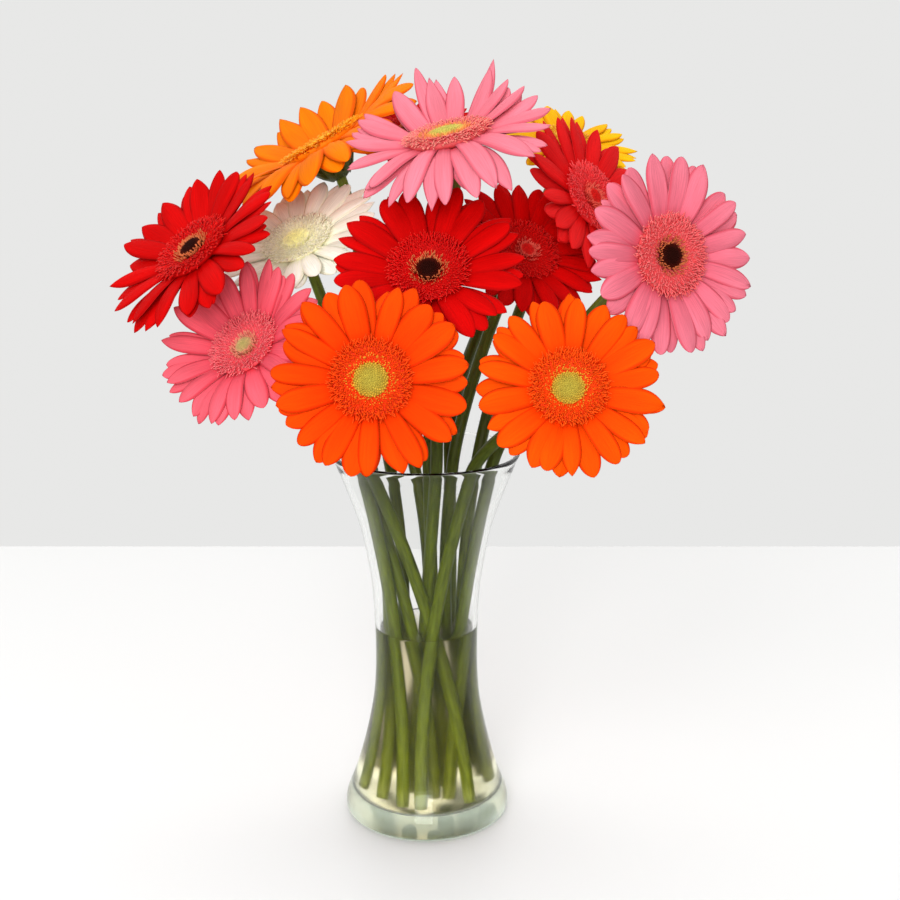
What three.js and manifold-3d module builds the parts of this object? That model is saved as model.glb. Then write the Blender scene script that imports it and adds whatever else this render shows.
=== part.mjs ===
// Thirteen cut gerberas standing in water in a clear, waisted glass vase.
// Millimetres, +Z up. The origin is the centre of the vase's flat foot, and the front of the bunch is -Y.
import * as THREE from "three";
import { mergeVertices } from "three/addons/utils/BufferGeometryUtils.js";
import Module from "manifold-3d";

const wasm = await Module();
wasm.setup();

// Driving dimensions
const GAP = 0.3; // clearance between solids that touch
const VASE_HEIGHT = 229;
const WALL = 2.8; // glass thickness of the wall
const FLOOR = 12; // thickness of the vase's heavy base
const WATER_LEVEL = 119;
const STEM_RADIUS = 3.85;
const STEM_SIDES = 6;
const STEM_STEPS = 12;
const PETALS = 12; // ray florets in each of the two layers
const PETAL_WIDTH = 15.5;
const PETAL_THICK = 1.8;
const PETAL_SWAY = 2; // how far a petal's tip strays sideways at most
const PETAL_SHORT = 0.07; // share of its length that a petal may lack
const LAYER_DROP = 2.1; // how far the lower layer lies below the upper one
const TUFTS = 12; // pointed tufts of the fringe round the eye
const BRACTS = 6; // green scales round the back of each head
const ROOT_RADIUS = 12.4; // of the core that the petals stand out of
const HEAD_REACH = 50; // radius of the flower whose head is drawn here; other heads are in proportion

// Outer wall of the vase as radius and height: a rounded heel, a narrow waist and a flared mouth.
const VASE_OUTLINE = [
  [48.2, 15], [43.4, 28], [38.4, 46], [34.3, 65], [32, 82], [31.2, 108],
  [32.4, 141], [35.2, 162], [39.2, 182], [45, 200], [56, VASE_HEIGHT],
];

const COLOURS = {
  orange: { petal: 0xff4f0a, eye: 0xb9bf3a },
  amber: { petal: 0xff8a05, eye: 0xd9b52a },
  pink: { petal: 0xf2738c, eye: 0xb5c25a },
  rose: { petal: 0xf2738c, eye: 0x2a120e },
  red: { petal: 0xd5060d, eye: 0x2a120e },
  cream: { petal: 0xf6efd8, eye: 0xdcd88a },
  yellow: { petal: 0xf7b70c, eye: 0xb9a93a },
};

// One row for each flower. eye is the middle of its face, and facing the azimuth to the right of -Y and the
// elevation above level, in degrees. reach is its radius and cup the height of its petal tips over the eye.
// bend lifts the tips on its far (+Y) side that much more, and lets those on its near side hang.
// Its stem passes the mouth, the waist and the floor of the vase at [radius, angle from +X in degrees].
const FLOWERS = [
  { name: "orange_front_left", colour: "orange", eye: [-26, -100, 291], facing: [0, 20],
    reach: 51.5, cup: 9, bend: 0, mouth: [41.8, 225], waist: [17.4, 301], foot: [34.8, 315] },
  { name: "orange_front_right", colour: "orange", eye: [76, -91, 285], facing: [0, 26],
    reach: 49.5, cup: 9, bend: 0, mouth: [42, 308], waist: [23.5, 273], foot: [32.8, 265] },
  { name: "pink_right", colour: "rose", eye: [133, -45, 349], facing: [27, 11],
    reach: 54.5, cup: 6, bend: -2, mouth: [41.5, 338], waist: [19.2, 345], foot: [22.1, 302] },
  { name: "red_centre", colour: "red", eye: [3, -54, 342], facing: [-4, 42],
    reach: 53, cup: 9, bend: 0, mouth: [33.9, 281], waist: [3.6, 232], foot: [11.8, 226] },
  { name: "pink_top", colour: "pink", eye: [13, -14, 412], facing: [-50, 73],
    reach: 59, cup: 3, bend: 25, mouth: [14.1, 278], waist: [5.9, 37], foot: [8.2, 13] },
  { name: "red_left", colour: "red", eye: [-129, -20, 350], facing: [-50, 47],
    reach: 56, cup: 5, bend: 9, mouth: [39.2, 184], waist: [12.2, 247], foot: [15, 285] },
  { name: "pink_left", colour: "pink", eye: [-97, -50, 300], facing: [-36, 42],
    reach: 49, cup: 9, bend: 14, mouth: [41.1, 207], waist: [22.7, 226], foot: [32.4, 246] },
  { name: "amber_top_left", colour: "amber", eye: [-63, 69, 405], facing: [-84, 60],
    reach: 67, cup: 9, bend: 22, mouth: [38.4, 129], waist: [17.2, 149], foot: [33.2, 221] },
  { name: "cream_left", colour: "cream", eye: [-76, 28, 351], facing: [-32, 55],
    reach: 53, cup: 5, bend: 0, mouth: [36, 161], waist: [23.4, 187], foot: [34.6, 190] },
  { name: "yellow_back_right", colour: "yellow", eye: [91, 122, 407], facing: [30, 66],
    reach: 47, cup: 3, bend: 4, mouth: [32.2, 64], waist: [22.7, 49], foot: [34.2, 69] },
  { name: "red_upper_right", colour: "red", eye: [100, 47, 375], facing: [50, 28],
    reach: 55, cup: 4, bend: 0, mouth: [32.6, 18], waist: [22.4, 10], foot: [31.3, 7] },
  { name: "red_middle_right", colour: "red", eye: [59, 13, 346], facing: [26, 38],
    reach: 47, cup: 5, bend: 0, mouth: [16.6, 346], waist: [14.9, 30], foot: [27.7, 30] },
  { name: "red_back", colour: "red", eye: [-10, 106, 414], facing: [-10, 66],
    reach: 44, cup: 4, bend: 2, mouth: [33.5, 107], waist: [21, 90], foot: [28.4, 129] },
];

// A repeatable number from -1 to 1 for item i of series k, so that no two petals are quite alike.
function scatter(i, k) {
  const wave = Math.sin(i * 12.9898 + k * 78.233) * 43758.5453;
  return 2 * (wave - Math.floor(wave)) - 1;
}

// A closed three.js geometry as a solid.
function solid(geometry) {
  const flat = geometry.index ? geometry.toNonIndexed() : geometry;
  const bare = new THREE.BufferGeometry().setAttribute("position", flat.getAttribute("position"));
  const merged = mergeVertices(bare, 1e-4);
  return new wasm.Manifold(new wasm.Mesh({
    numProp: 3,
    vertProperties: merged.getAttribute("position").array,
    triVerts: new Uint32Array(merged.index.array),
  }));
}

// A solid as a named mesh.
function piece(name, shape, material) {
  const { vertProperties, triVerts } = shape.getMesh();
  const geometry = new THREE.BufferGeometry()
    .setAttribute("position", new THREE.BufferAttribute(vertProperties, 3))
    .setIndex(new THREE.BufferAttribute(triVerts, 1));
  geometry.computeVertexNormals();
  const mesh = new THREE.Mesh(geometry, material);
  mesh.name = name;
  return mesh;
}

// A profile of [radius, height] pairs, from the lower end of the axis to the upper one, turned round +Z.
function turned(profile, segments) {
  const outline = profile.map(([r, z]) => new THREE.Vector2(r, z));
  return new THREE.LatheGeometry(outline, segments).rotateX(Math.PI / 2);
}

function polar([radius, degrees], z) {
  const angle = THREE.MathUtils.degToRad(degrees);
  return new THREE.Vector3(radius * Math.cos(angle), radius * Math.sin(angle), z);
}

// The outer wall as a smooth curve through its outline, sampled from the heel to the mouth.
function vaseWall(samples) {
  const curve = new THREE.SplineCurve(VASE_OUTLINE.map(([r, z]) => new THREE.Vector2(r, z)));
  return curve.getPoints(samples).map((p) => [p.x, p.y]);
}

// The inner wall: the outer one moved in along its normal, above the floor.
function innerWall(samples, inset) {
  const outer = vaseWall(samples);
  return outer.map(([r, z], i) => {
    const [r0, z0] = outer[Math.max(i - 1, 0)];
    const [r1, z1] = outer[Math.min(i + 1, outer.length - 1)];
    const length = Math.hypot(r1 - r0, z1 - z0);
    return [r - inset * (z1 - z0) / length, z + inset * (r1 - r0) / length];
  });
}

// The vase: a heavy floor, a wall of even thickness and a rounded lip.
const VASE_SEGMENTS = 24;
const WALL_SAMPLES = 8;
const CORNER = 3; // height that the inner wall leaves to the floor's corner and to the lip
function vase() {
  const heel = [[0, 0], [49, 0], [50.7, 1.8], [50.7, 6]];
  const outer = vaseWall(WALL_SAMPLES);
  const inner = innerWall(WALL_SAMPLES, WALL)
    .filter(([, z]) => z > FLOOR + CORNER && z < VASE_HEIGHT - CORNER);
  const lip = [[54.6, VASE_HEIGHT + 0.4], [53.2, VASE_HEIGHT - 1]];
  const floor = [[43.4, FLOOR + 2.2], [41, FLOOR], [0, FLOOR]];
  return solid(turned([...heel, ...outer, ...lip, ...inner.reverse(), ...floor], VASE_SEGMENTS));
}

// The water fills the vase to its level and leaves a plain hole round each stem.
const HOLE_CLEARANCE = 0.8; // round a stem's corners, so that its flats and bends keep about GAP too
const HOLE_BELOW = 6; // how far a hole runs on past the stem's foot
const HOLE_STEPS = 8;
function water() {
  const wall = innerWall(WALL_SAMPLES, WALL + GAP)
    .filter(([, z]) => z > FLOOR + CORNER && z < WATER_LEVEL - CORNER);
  const below = [[0, FLOOR + GAP], [40.8, FLOOR + GAP], [43, FLOOR + 2.5]];
  const brim = [[28.2, WATER_LEVEL], [0, WATER_LEVEL]];
  const body = solid(turned([...below, ...wall, ...brim], VASE_SEGMENTS));
  const holes = FLOWERS.map((flower) => tube(lowerStem(flower), STEM_RADIUS + HOLE_CLEARANCE, HOLE_STEPS));
  return body.subtract(wasm.Manifold.union(holes));
}

// The direction a flower faces.
function outlook({ facing: [azimuth, elevation] }) {
  const a = THREE.MathUtils.degToRad(azimuth);
  const e = THREE.MathUtils.degToRad(elevation);
  return new THREE.Vector3(Math.sin(a) * Math.cos(e), -Math.cos(a) * Math.cos(e), Math.sin(e));
}

// The axes of a head: across it, up its face, and forward.
function axes(flower) {
  const forward = outlook(flower);
  const across = new THREE.Vector3(0, 0, 1).cross(forward).normalize();
  return [across, forward.clone().cross(across), forward];
}

// Turns a shape made round the origin, facing +Z, into place on its flower.
function placed(shape, flower) {
  const size = flower.reach / HEAD_REACH;
  const matrix = new THREE.Matrix4().makeBasis(...axes(flower)).setPosition(...flower.eye);
  return shape.scale(size).transform(matrix.elements);
}

// The stem's centreline in the vase: a gentle bow from the floor past the waist to the mouth.
const MOUTH_LEVEL = 222;
const WAIST_LEVEL = 100;
function bowOf(flower) {
  const foot = polar(flower.foot, FLOOR + GAP);
  const waist = polar(flower.waist, WAIST_LEVEL);
  const mouth = polar(flower.mouth, MOUTH_LEVEL);
  const t = (WAIST_LEVEL - foot.z) / (MOUTH_LEVEL - foot.z);
  const bow = waist.clone()
    .addScaledVector(foot, -((1 - t) ** 2))
    .addScaledVector(mouth, -(t ** 2))
    .divideScalar(2 * t * (1 - t));
  const lean = bow.clone().sub(foot).normalize();
  foot.addScaledVector(lean, STEM_RADIUS * Math.hypot(lean.x, lean.y) / lean.z);
  return { foot, bow, mouth, lean };
}

// The same, started further down so that a hole along it opens below the foot.
function lowerStem(flower) {
  const { foot, bow, mouth, lean } = bowOf(flower);
  const path = new THREE.CurvePath();
  path.add(new THREE.LineCurve3(foot.clone().addScaledVector(lean, -HOLE_BELOW), foot));
  path.add(new THREE.QuadraticBezierCurve3(foot, bow, mouth));
  return path;
}

// The whole centreline: over the mouth the stem becomes a neck that bends to the back of the head.
const NECK_BACK = 10; // how far behind the eye the neck ends
const NECK_RISE = 0.3; // share of the neck over which it keeps the stem's direction
const NECK_BEND = 0.18; // share over which it turns to meet the head squarely
function stemCurve(flower) {
  const { foot, bow, mouth } = bowOf(flower);
  const forward = outlook(flower);
  const head = new THREE.Vector3(...flower.eye)
    .addScaledVector(forward, -NECK_BACK * flower.reach / HEAD_REACH);
  const span = head.distanceTo(mouth);
  const rise = mouth.clone().sub(bow).normalize();
  const path = new THREE.CurvePath();
  path.add(new THREE.QuadraticBezierCurve3(foot, bow, mouth));
  path.add(new THREE.CubicBezierCurve3(
    mouth,
    mouth.clone().addScaledVector(rise, span * NECK_RISE),
    head.clone().addScaledVector(forward, -span * NECK_BEND),
    head,
  ));
  return path;
}

function tube(path, radius, steps) {
  const corners = Array.from({ length: STEM_SIDES }, (_, i) => {
    const angle = i * 2 * Math.PI / STEM_SIDES;
    return new THREE.Vector2(radius * Math.cos(angle), radius * Math.sin(angle));
  });
  const section = new THREE.Shape(corners);
  return solid(new THREE.ExtrudeGeometry(section, { extrudePath: path, steps, bevelEnabled: false }));
}

// A turned shape whose rim, beyond the radius inner, is drawn out into teeth. stretch is the share of its
// radius by which a point stands out and the hollow beside it lies in, and lift is the same for its height.
function toothed(profile, { teeth, inner, stretch, lift }) {
  const shape = turned(profile, 2 * teeth);
  const place = shape.getAttribute("position");
  for (let i = 0; i < place.count; i++) {
    const [x, y, z] = [place.getX(i), place.getY(i), place.getZ(i)];
    const point = Math.hypot(x, y) < inner ? 0 : Math.cos(Math.atan2(y, x) * teeth);
    place.setXYZ(i, x * (1 + stretch * point), y * (1 + stretch * point), z + lift * point);
  }
  return solid(shape);
}

// The green cup of pointed scales that holds the head, fused to the neck.
function calyx() {
  const profile = [[0, -16], [3.7, -15.6], [9, -9.6], [10.6, -6.9], [0, -6.9]];
  return toothed(profile, { teeth: BRACTS, inner: 10, stretch: 0.09, lift: 0 });
}

function stem(flower) {
  return tube(stemCurve(flower), STEM_RADIUS, STEM_STEPS).add(placed(calyx(), flower));
}

// One ray floret, lying flat: a three-sided cone flattened to a blade, with its keel below and its point sunk
// in the core, that widens and ends in a blunt tip. turn is its angle round the head, reach its length from
// the axis, drop the depth of its layer and sway how far its tip strays sideways.
const STATIONS = [[9, 0], [20, 0.6], [38, 1], [HEAD_REACH, 0.42]]; // distance out and share of the width
const PETAL_LEVEL = -1.8; // height of the upper layer's faces, from the middle of the eye's seat
function petal(turn, reach, drop, sway) {
  const last = STATIONS.length - 1;
  const rod = new THREE.CylinderGeometry(1, 0, 1, 3, last);
  const place = rod.getAttribute("position");
  const stretch = (reach - ROOT_RADIUS) / (HEAD_REACH - ROOT_RADIUS);
  for (let i = 0; i < place.count; i++) {
    const station = Math.round((place.getY(i) + 0.5) * last);
    const [distance, share] = STATIONS[station];
    const ring = station / last || 1;
    const across = place.getX(i) / ring * PETAL_WIDTH * share / Math.sqrt(3);
    const keel = (place.getZ(i) / ring + 0.5) * PETAL_THICK / 1.5 * Math.sign(station);
    const out = ROOT_RADIUS + (distance - ROOT_RADIUS) * (station > 1 ? stretch : 1);
    place.setXYZ(i, out, across + sway * (distance / HEAD_REACH) ** 2, PETAL_LEVEL - drop - keel);
  }
  rod.rotateZ(turn);
  return solid(rod);
}

// The head's core, sunk in its middle for the eye, with the fringe of short florets drawn out into tufts.
function crown() {
  const profile = [[0, -6.6], [12, -6.6], [ROOT_RADIUS, 0.2], [18.4, 4.4], [12.6, 4.2], [0, -1.2]];
  return toothed(profile, { teeth: TUFTS, inner: 18, stretch: 0.12, lift: 0.7 });
}

// The crown and two layers of petals, laid flat and then bent together to the flower's own bowl.
function bloom(flower, index) {
  const parts = [crown()];
  for (let layer = 0; layer < 2; layer++)
    for (let i = 0; i < PETALS; i++) {
      const item = i + layer * PETALS;
      const turn = (i + (layer + 0.5) / 2) * 2 * Math.PI / PETALS;
      const reach = HEAD_REACH * (1 - PETAL_SHORT / 2 * (1 + scatter(item, index + FLOWERS.length)));
      parts.push(petal(turn, reach, layer * LAYER_DROP, PETAL_SWAY * scatter(item, index)));
    }
  const [across, upward] = axes(flower);
  const size = flower.reach / HEAD_REACH;
  const bowl = (place) => {
    const [x, y] = place;
    const radius = Math.hypot(x, y);
    if (radius < ROOT_RADIUS) return;
    const s = (radius - ROOT_RADIUS) / (HEAD_REACH - ROOT_RADIUS);
    const away = (across.y * x + upward.y * y) / radius;
    place[2] += (flower.cup * Math.sin(s * Math.PI / 2) + flower.bend * away * s * s) / size;
  };
  return placed(wasm.Manifold.union(parts).warp(bowl), flower);
}

// The domed eye of unopened florets, in the middle of the crown.
function eye() {
  const profile = [[0, -0.8], [7.6, 2.5], [4.6, 3.7], [0, 4.1]];
  return toothed(profile, { teeth: 5, inner: 4, stretch: 0.03, lift: 0.2 });
}

function clear(colour, opacity) {
  return new THREE.MeshStandardMaterial({ color: colour, roughness: 0.05, transparent: true, opacity });
}

function greenStem() {
  return new THREE.MeshStandardMaterial({ color: 0x5f7a24, roughness: 0.6 });
}

function softPetal(colour) {
  return new THREE.MeshStandardMaterial({ color: colour, roughness: 0.55 });
}

function grainyEye(colour) {
  return new THREE.MeshStandardMaterial({ color: colour, roughness: 0.8 });
}

const bouquet = new THREE.Group();
bouquet.add(piece("vase", vase(), clear(0xe8f2f0, 0.35)));
bouquet.add(piece("water", water(), clear(0xdfe8d8, 0.5)));
FLOWERS.forEach((flower, index) => {
  const tint = COLOURS[flower.colour];
  bouquet.add(piece(`stem_${flower.name}`, stem(flower), greenStem()));
  bouquet.add(piece(`petals_${flower.name}`, bloom(flower, index), softPetal(tint.petal)));
  bouquet.add(piece(`eye_${flower.name}`, placed(eye(), flower), grainyEye(tint.eye)));
});

export default bouquet;
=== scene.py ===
"""Thirteen cut gerberas standing in water in a clear, waisted glass vase."""
import math

import bpy
import numpy as np
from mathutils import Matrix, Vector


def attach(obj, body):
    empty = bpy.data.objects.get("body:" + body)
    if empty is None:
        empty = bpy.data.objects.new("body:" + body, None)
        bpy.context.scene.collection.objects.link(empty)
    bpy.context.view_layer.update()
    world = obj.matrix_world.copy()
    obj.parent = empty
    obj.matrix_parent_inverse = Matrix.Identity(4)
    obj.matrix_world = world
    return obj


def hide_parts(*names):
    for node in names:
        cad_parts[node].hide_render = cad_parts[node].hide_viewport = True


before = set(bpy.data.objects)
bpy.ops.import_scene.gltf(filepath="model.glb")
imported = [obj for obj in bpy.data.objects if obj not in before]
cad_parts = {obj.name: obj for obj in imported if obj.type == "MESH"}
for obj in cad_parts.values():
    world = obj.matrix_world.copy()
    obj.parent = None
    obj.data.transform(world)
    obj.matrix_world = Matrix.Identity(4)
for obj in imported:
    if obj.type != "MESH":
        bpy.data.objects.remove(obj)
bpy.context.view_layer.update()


# The studio. The camera stands a little over the flowers' middle and looks down at the bunch from the front.
# The vase stands on a plain pale table top in a white room, whose light is brightest overhead and dim behind
# the camera. Dark screens far out on both sides draw the edges of the glass. The walls themselves look plain.
CAMERA_PLACE = (0.0145, -0.78, 0.42)
CAMERA_PITCH = 13.7
CAMERA_LENS = 54
CAMERA_NEAREST = 0.02


def add_object(name, data):
    """An object of the data, linked into the scene."""
    added = bpy.data.objects.new(name, data)
    bpy.context.scene.collection.objects.link(added)
    return added


camera = add_object("camera", bpy.data.cameras.new("camera"))
camera.data.lens = CAMERA_LENS
camera.data.clip_start = CAMERA_NEAREST
camera.location = CAMERA_PLACE
camera.rotation_euler = (math.radians(90 - CAMERA_PITCH), 0, 0)
bpy.context.scene.camera = camera
bpy.context.scene.view_settings.view_transform = "Standard"

FLOOR_HALF = 0.53
FLOOR_DROP = 0.0002
FLOOR_TONE = 0.71
FLOOR_CORNERS = [(-1, -1), (1, -1), (1, 1), (-1, 1)]


def feed(tree, node, inputs):
    """Each named input of the node is given a source to follow or a plain value."""
    for socket, source in inputs.items():
        if isinstance(source, bpy.types.NodeSocket):
            tree.links.new(source, node.inputs[socket])
        else:
            node.inputs[socket].default_value = source


def add_node(tree, kind, inputs, operation=None):
    """A shader node of the kind, with its operation where it has one, and its inputs."""
    node = tree.nodes.new(f"ShaderNode{kind}")
    if operation:
        node.operation = operation
    feed(tree, node, inputs)
    return node


def new_material(name, inputs):
    """A material, its node tree and its Principled shader, which is given the inputs."""
    material = bpy.data.materials.new(name)
    material.use_nodes = True
    tree = material.node_tree
    shader = tree.nodes["Principled BSDF"]
    feed(tree, shader, inputs)
    return material, tree, shader


floor_mesh = bpy.data.meshes.new("floor")
floor_mesh.from_pydata(
    [(x * FLOOR_HALF, y * FLOOR_HALF, -FLOOR_DROP) for x, y in FLOOR_CORNERS], [], [(0, 1, 2, 3)])
floor = add_object("floor", floor_mesh)
floor.visible_glossy = False
pale_floor, _, _ = new_material("pale_floor", {
    "Base Color": (FLOOR_TONE, FLOOR_TONE, FLOOR_TONE, 1), "Roughness": 0.45, "Specular IOR Level": 0.3})
floor_mesh.materials.append(pale_floor)

# for each axis, two shares of a direction that point along it and the brightness at each
ROOM_TONES = {
    "Y": [(0.0, 0.26), (0.25, 0.81)],
    "Z": [(0.1, 1.0), (0.6, 2.5)],
    "X": [(0.9, 1.0), (0.98, 0.35)],
}
ROOM_TINT = (0.995, 0.995, 0.985, 1)
WALL_TONE = 0.81


def map_range(tree, source, start, end):
    """The source carried from one span to another. Start and end are each a value and what it becomes."""
    (low, becomes_low), (high, becomes_high) = start, end
    span = add_node(tree, "MapRange", {
        "Value": source, "From Min": low, "From Max": high, "To Min": becomes_low, "To Max": becomes_high})
    return span.outputs["Result"]


room = bpy.data.worlds.new("white_room")
room.use_nodes = True
room_tree = room.node_tree
compass = add_node(room_tree, "TexCoord", {})
direction = add_node(room_tree, "SeparateXYZ", {0: compass.outputs["Generated"]})
brightness = 1.0
for axis, stops in ROOM_TONES.items():
    part = "ABSOLUTE" if axis == "X" else "MAXIMUM"
    share = add_node(room_tree, "Math", {0: direction.outputs[axis], 1: 0.0}, part)
    level = map_range(room_tree, share.outputs[0], *stops)
    brightness = add_node(room_tree, "Math", {0: brightness, 1: level}, "MULTIPLY").outputs[0]
sight = add_node(room_tree, "LightPath", {})
seen = add_node(room_tree, "Mix", {"Factor": sight.outputs["Is Camera Ray"], "A": brightness, "B": WALL_TONE})
feed(room_tree, room_tree.nodes["Background"], {"Strength": seen.outputs["Result"], "Color": ROOM_TINT})
bpy.context.scene.world = room

# name, place, target, size and power of each soft light
SOFT_LIGHTS = [
    ("key", (-0.6, -1.5, 1.5), (0, 0, 0.34), 0.8, 11),
    ("fill", (-0.1, -1.5, 0.58), (0, 0, 0.34), 0.7, 16),
]
for name, place, target, size, power in SOFT_LIGHTS:
    lamp = bpy.data.lights.new(name, "AREA")
    lamp.size = size
    lamp.energy = power
    light = add_object(name, lamp)
    light.location = place
    away = Vector(place) - Vector(target)
    light.rotation_euler = away.to_track_quat("Z", "Y").to_euler()


# The vase: one blown body of clear, faintly green glass. A heavy base carries a wall that draws in to a waist
# and flares to a fire-polished lip. It stands on the rim of its slightly hollow foot.
MM = 0.001
VASE_OUTLINE = np.array([
    (48.2, 15), (43.4, 28), (38.4, 46), (34.3, 65), (32, 82), (31.2, 108),
    (32.4, 141), (35.2, 162), (39.2, 182), (45, 200), (56, 229),
])
WALL = 2.8
VASE_FLOOR = 12.0
VASE_COLUMNS = 160
WALL_ROWS = 70
FOOT_HOLLOW = [(0, 1.2), (30, 1.1), (40, 0.8), (45.5, 0.15), (47.2, 0)]
BASE_SIDE = [(50.7, 6), (50.4, 8.5), (49.6, 11.5)]
FLOOR_EDGE = np.array([(43.6, 15.2), (42.4, 13.2), (40.4, 12.3), (37, VASE_FLOOR)])
# centre, radius, first and last angle and number of points of the foot's rim and of the lip
FOOT_RIM = ((47.7, 3), 3, -80, 0, 8)
LIP = ((54.8, 228.2), 1.4, 10, 170, 9)
INNER_WALL_FROM = VASE_FLOOR + 5
INNER_WALL_TO = 226


def smooth_outline(points, rows):
    """A uniform Catmull-Rom spline through the points: on each stretch a cubic whose slope at a point is half
    the step between the points either side of it."""
    place = np.linspace(0, len(points) - 1, rows)
    start = np.minimum(place.astype(int), len(points) - 2)
    t = (place - start)[:, None]
    before, a = points[np.maximum(start - 1, 0)], points[start]
    b, after = points[start + 1], points[np.minimum(start + 2, len(points) - 1)]
    out, back = (b - before) / 2, (after - a) / 2
    return (2 * a - 2 * b + out + back) * t**3 + (3 * b - 3 * a - 2 * out - back) * t**2 + out * t + a


def moved_in(profile, inset):
    """Each point of the profile shifted by inset towards the axis, at a right angle to the profile."""
    step = np.gradient(profile, axis=0)
    step /= np.linalg.norm(step, axis=1)[:, None]
    return profile + inset * np.stack([-step[:, 1], step[:, 0]], axis=1)


def between(profile, low, high):
    """The points of the profile that lie between two heights."""
    return profile[(profile[:, 1] > low) & (profile[:, 1] < high)]


def arc(centre, radius, start, end, rows):
    """Points of a circle round centre between two angles in degrees."""
    angle = np.radians(np.linspace(start, end, rows))
    return np.array(centre) + radius * np.stack([np.cos(angle), np.sin(angle)], axis=1)


def at_angle(out, angle, height, side=0.0):
    """Points that lie out from the Z axis in the direction at an angle, to the left of it by side, and at a
    height: X and Y are (out, side) turned by the angle."""
    x = out * np.cos(angle) - side * np.sin(angle)
    y = out * np.sin(angle) + side * np.cos(angle)
    return np.stack(np.broadcast_arrays(x, y, height), axis=-1)


def turned(profile, columns):
    """A profile of radius and height carried round the Z axis, as one skin of rings. Its first and last
    points are on the axis and become the poles."""
    angle = np.arange(columns) * 2 * np.pi / columns
    rings = at_angle(profile[1:-1, 0, None], angle, profile[1:-1, 1, None])
    poles = np.array([(0, 0, profile[0, 1]), (0, 0, profile[-1, 1])])
    return rings[None], poles[None]


def lay_skins(name, batches, material, nodes):
    """One object at the origin made of closed skins. A batch is rings (skin, row, column, xyz), poles (skin,
    2, xyz) and perhaps marks for the rings and for the poles. Neighbouring rings are joined by quads, and
    each end is closed by triangles that meet at its pole. Columns run anticlockwise about the way the rows
    go."""
    points, marks, quads, tris, base = [], [], [], [], 0
    for rings, poles, *mark in batches:
        skins, rows, columns, _ = rings.shape
        each = rows * columns + 2
        points.append(np.concatenate([rings.reshape(skins, -1, 3), poles], axis=1).reshape(-1, 3))
        if mark:
            ring_marks = np.broadcast_to(mark[0], rings.shape).reshape(skins, -1, 3)
            marks.append(np.concatenate([ring_marks, mark[1]], axis=1).reshape(-1, 3))
        first = base + np.arange(skins)[:, None, None] * each
        here = np.arange(columns)
        after = (here + 1) % columns
        down = np.arange(rows - 1)[:, None] * columns
        up = down + columns
        quad = np.stack([down + here, down + after, up + after, up + here], -1)
        quads.append((first[..., None] + quad).reshape(-1, 4))
        last, pole = (rows - 1) * columns, rows * columns + 0 * here
        low = np.stack([after, here, pole], -1)
        high = np.stack([last + here, last + after, pole + 1], -1)
        tris.append((first + np.concatenate([low, high])).reshape(-1, 3))
        base += skins * each
    points, quads, tris = (np.concatenate(group) for group in (points, quads, tris))
    mesh = bpy.data.meshes.new(name)
    mesh.vertices.add(len(points))
    mesh.vertices.foreach_set("co", (points * MM).ravel())
    mesh.loops.add(quads.size + tris.size)
    mesh.loops.foreach_set("vertex_index", np.concatenate([quads.ravel(), tris.ravel()]))
    starts = np.concatenate([np.arange(len(quads)) * 4, quads.size + np.arange(len(tris)) * 3])
    mesh.polygons.add(len(starts))
    mesh.polygons.foreach_set("loop_start", starts)
    mesh.polygons.foreach_set("use_smooth", np.ones(len(starts), dtype=bool))
    if marks:
        layer = mesh.attributes.new("mark", "FLOAT_VECTOR", "POINT")
        layer.data.foreach_set("vector", np.concatenate(marks).astype(float).ravel())
    mesh.update(calc_edges=True)
    mesh.validate()
    mesh.materials.append(material)
    piece = add_object(name, mesh)
    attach(piece, "root")
    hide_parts(*nodes)


def clear_finish(name, shade, bend, haze, depth_colour, density):
    """A clear body: light bends through it, and is scattered a little where it has haze. Its shadow rays
    pass straight on but for a little shade, and its depth is tinted."""
    material, tree, shader = new_material(name, {
        "Base Color": (1, 1, 1, 1), "Roughness": haze, "IOR": bend, "Transmission Weight": 1.0,
        "Specular Tint": (0.3, 0.32, 0.31, 1)})
    passing = add_node(tree, "BsdfTransparent", {"Color": (*shade, 1)})
    path = add_node(tree, "LightPath", {})
    mix = add_node(tree, "MixShader", {
        0: path.outputs["Is Shadow Ray"], 1: shader.outputs[0], 2: passing.outputs[0]})
    depth = add_node(tree, "VolumeAbsorption", {"Color": (*depth_colour, 1), "Density": density})
    feed(tree, tree.nodes["Material Output"], {"Surface": mix.outputs[0], "Volume": depth.outputs[0]})
    return material


outer_wall = smooth_outline(VASE_OUTLINE, WALL_ROWS)
inner_wall = between(moved_in(outer_wall, WALL), INNER_WALL_FROM, INNER_WALL_TO)
vase_profile = np.concatenate([
    FOOT_HOLLOW,
    arc(*FOOT_RIM),
    BASE_SIDE,
    outer_wall[:-1],
    arc(*LIP),
    inner_wall[::-1],
    FLOOR_EDGE,
    [(20, VASE_FLOOR), (0, VASE_FLOOR)],
])
clear_glass = clear_finish(
    "clear_glass", shade=(0.60, 0.62, 0.59), bend=1.45, haze=0.0, depth_colour=(0.74, 0.82, 0.72), density=17)
lay_skins("vase_body", [turned(vase_profile, VASE_COLUMNS)], clear_glass, ["vase"])


# The water: it fills the vase from the floor to a little over the waist and clings to the wall in a thin
# upward rim. It is a faintly cloudy yellow from the cut stems, and it meets the glass with no air between.
WATER_LEVEL = 119
CLING = 0.15
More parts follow.
